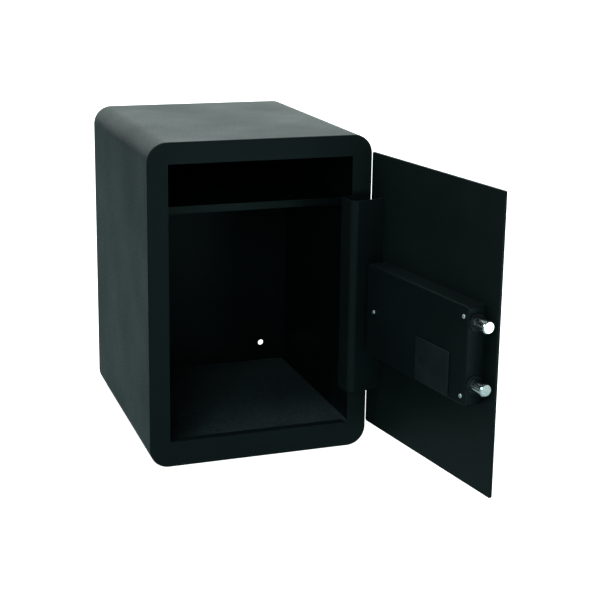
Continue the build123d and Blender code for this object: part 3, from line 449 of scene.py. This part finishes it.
def key_legends():
    """Each key's generic number or sign, printed on its dished face."""
    sign_size, star_size = 9.5 * MM, 13 * MM
    cast_from, fallback_drop = 2.0 * MM, 2.2 * MM
    ink_clear, ink_thick, weld = 0.03 * MM, 0.05 * MM, 0.001 * MM
    swing = next(j for j in frame["joints"] if j["child"] == "door")
    open_angle = math.radians(max(abs(end) for end in swing["range_deg"]))
    turn = Matrix.Rotation(open_angle, 3, "Z")
    out, across, up = turn @ Vector((0, -1, 0)), turn @ Vector((1, 0, 0)), Vector((0, 0, 1))
    ink = legend()
    signs = {"star": "*", "hash": "#"}
    for name, key in nodes.items():
        if not name.startswith("key_") or name.startswith("key_lock"):
            continue
        text = signs.get(name[4:], name[4:])
        mesh = text_mesh(text, star_size if text == "*" else sign_size)
        face = [v.co for v in key.data.vertices]
        mid, height, top = facing(face, out, across)
        tree = BVHTree.FromPolygons(face, [p.vertices for p in key.data.polygons])
        xs, ys = [v.co.x for v in mesh.vertices], [v.co.y for v in mesh.vertices]
        shift_x, shift_y = (min(xs) + max(xs)) / 2, (min(ys) + max(ys)) / 2
        bm = bmesh.new()
        bm.from_mesh(mesh)
        bpy.data.meshes.remove(mesh)
        bmesh.ops.remove_doubles(bm, verts=bm.verts, dist=weld)
        bmesh.ops.subdivide_edges(bm, edges=bm.edges, cuts=1)
        bmesh.ops.triangulate(bm, faces=bm.faces)
        for v in bm.verts:
            start = across * (mid + v.co.x - shift_x) + up * (height + v.co.y - shift_y) + out * (top + cast_from)
            hit = tree.ray_cast(start, -out)[0]
            v.co = (hit or start - out * fallback_drop) + out * ink_clear
        made = bmesh.ops.extrude_face_region(bm, geom=bm.faces[:])
        for v in (g for g in made["geom"] if isinstance(g, bmesh.types.BMVert)):
            v.co += out * ink_thick
        bmesh.ops.recalc_face_normals(bm, faces=bm.faces)
        piece = mesh_object(f"legend_{name[4:]}", bm, ink)
        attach(piece, key["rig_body"])


key_legends()


# ---------------------------------------------------------------- stage and light

PLAIN = (1.0, 1.0, 1.0)
SOFT = (0.86, 1.0, 0.965)
COOL = (0.72, 1.0, 1.0)


def stage_floor(name, glow, pale, seen, level=0.0, tint=PLAIN):
    """A plain pale floor with light of its own. The camera sees one floor, the object is lit by the other."""
    half_side, mottle = 60.0, 0.01
    bm = bmesh.new()
    bmesh.ops.create_grid(bm, x_segments=1, y_segments=1, size=half_side)
    s = Shader(name)
    colour = s.ramp(s.noise(3.0, 2.0), (pale - mottle,) * 3, (pale + mottle,) * 3)
    s.finish(colour, 0.9, Emission_Color=(*tint, 1.0), Emission_Strength=glow, Specular_IOR_Level=0.0)
    floor = mesh_object(name, bm, s.mat)
    floor.location.z = level
    floor.visible_camera = seen
    floor.visible_glossy = floor.visible_diffuse = floor.visible_shadow = not seen


def world(seen, given):
    """Even white where the camera looks past the floor, and a much dimmer fill for the object."""
    made = bpy.data.worlds.new("studio")
    scene.world = made
    made.use_nodes = True
    tree = made.node_tree
    tree.nodes.clear()
    out = tree.nodes.new("ShaderNodeOutputWorld")
    both = tree.nodes.new("ShaderNodeMixShader")
    path = tree.nodes.new("ShaderNodeLightPath")
    fill, white = tree.nodes.new("ShaderNodeBackground"), tree.nodes.new("ShaderNodeBackground")
    fill.inputs["Color"].default_value = (*given, 1.0)
    white.inputs["Color"].default_value = (seen, seen, seen, 1.0)
    tree.links.new(path.outputs["Is Camera Ray"], both.inputs["Fac"])
    tree.links.new(fill.outputs["Background"], both.inputs[1])
    tree.links.new(white.outputs["Background"], both.inputs[2])
    tree.links.new(both.outputs["Shader"], out.inputs["Surface"])


def softbox(name, place, towards, size, radiance, tint):
    """An area light of that size and radiance, aimed at a point and hidden from the camera."""
    data = bpy.data.lights.new(name, "AREA")
    data.shape = "RECTANGLE"
    data.size, data.size_y = size
    data.energy = radiance * size[0] * size[1] * math.pi
    data.color = tint
    lamp = bpy.data.objects.new(name, data)
    scene.collection.objects.link(lamp)
    lamp.location = place
    lamp.rotation_mode = "QUATERNION"
    lamp.rotation_quaternion = (Vector(towards) - Vector(place)).to_track_quat("-Z", "Y")
    lamp.visible_camera = False


def camera():
    """A view from the cabinet's left front and a little above, with the photo's lens, roll and shift."""
    place = (-0.5933, -2.0402, 0.8111)
    azimuth, elevation, roll = (math.radians(angle) for angle in (-19.551, 13.493, 0.858))
    focal_px, frame_px, sensor = 1326.38, 600.0, 36.0
    back = Vector((math.sin(azimuth) * math.cos(elevation), -math.cos(azimuth) * math.cos(elevation),
                   math.sin(elevation)))
    right = (-back).cross(Vector((0, 0, 1))).normalized()
    up = right.cross(-back)
    across = right * math.cos(roll) + up * math.sin(roll)
    upright = up * math.cos(roll) - right * math.sin(roll)
    data = bpy.data.cameras.new("camera")
    data.sensor_width = sensor
    data.lens = focal_px * sensor / frame_px
    data.shift_y = -0.1
    data.clip_start, data.clip_end = 0.05, 200.0
    obj = bpy.data.objects.new("camera", data)
    scene.collection.objects.link(obj)
    turn = Matrix((across, upright, back)).transposed()
    obj.matrix_world = Matrix.Translation(place) @ turn.to_4x4()
    scene.camera = obj


scene.view_settings.view_transform = "Standard"
stage_floor("stage_floor", 0.98, 0.80, True)
stage_floor("stage_bounce", 0.30, 0.15, False, level=-2.0 * MM, tint=(0.62, 1.0, 1.0))
world(1.0, (0.030, 0.036, 0.036))
# name, place, aimed at, size, radiance, tint
for light in (
    ("overhead", (0.0, 0.6, 3.0), (0.0, 0.0, 0.4), (3.0, 3.0), 3.0, SOFT),
    ("rear", (1.0, 4.2, 1.7), (0.0, 0.0, 0.4), (6.2, 2.8), 1.8, SOFT),
    ("left", (-3.2, 0.6, 1.5), (0.0, 0.0, 0.3), (2.4, 2.4), 1.08, SOFT),
    ("key", (-0.9, -0.9, 2.6), (0.0, -0.1, 0.1), (0.6, 0.5), 19.0, SOFT),
    ("front_fill", (-1.3, -2.7, 1.3), (0.1, -0.3, 0.15), (1.2, 1.2), 3.6, COOL),
    ("right", (3.4, 1.0, 1.7), (0.1, 0.0, 0.3), (2.2, 2.2), 1.3, SOFT),
    ("bolt_card", (0.78, -1.05, 0.05), (0.22, -0.53, 0.24), (0.35, 0.35), 3.0, (0.90, 1.0, 1.0)),
    ("end_card", (0.45, -1.35, 0.16), (0.20, -0.50, 0.24), (0.40, 0.30), 5.0, COOL),
):
    softbox(*light)
camera()
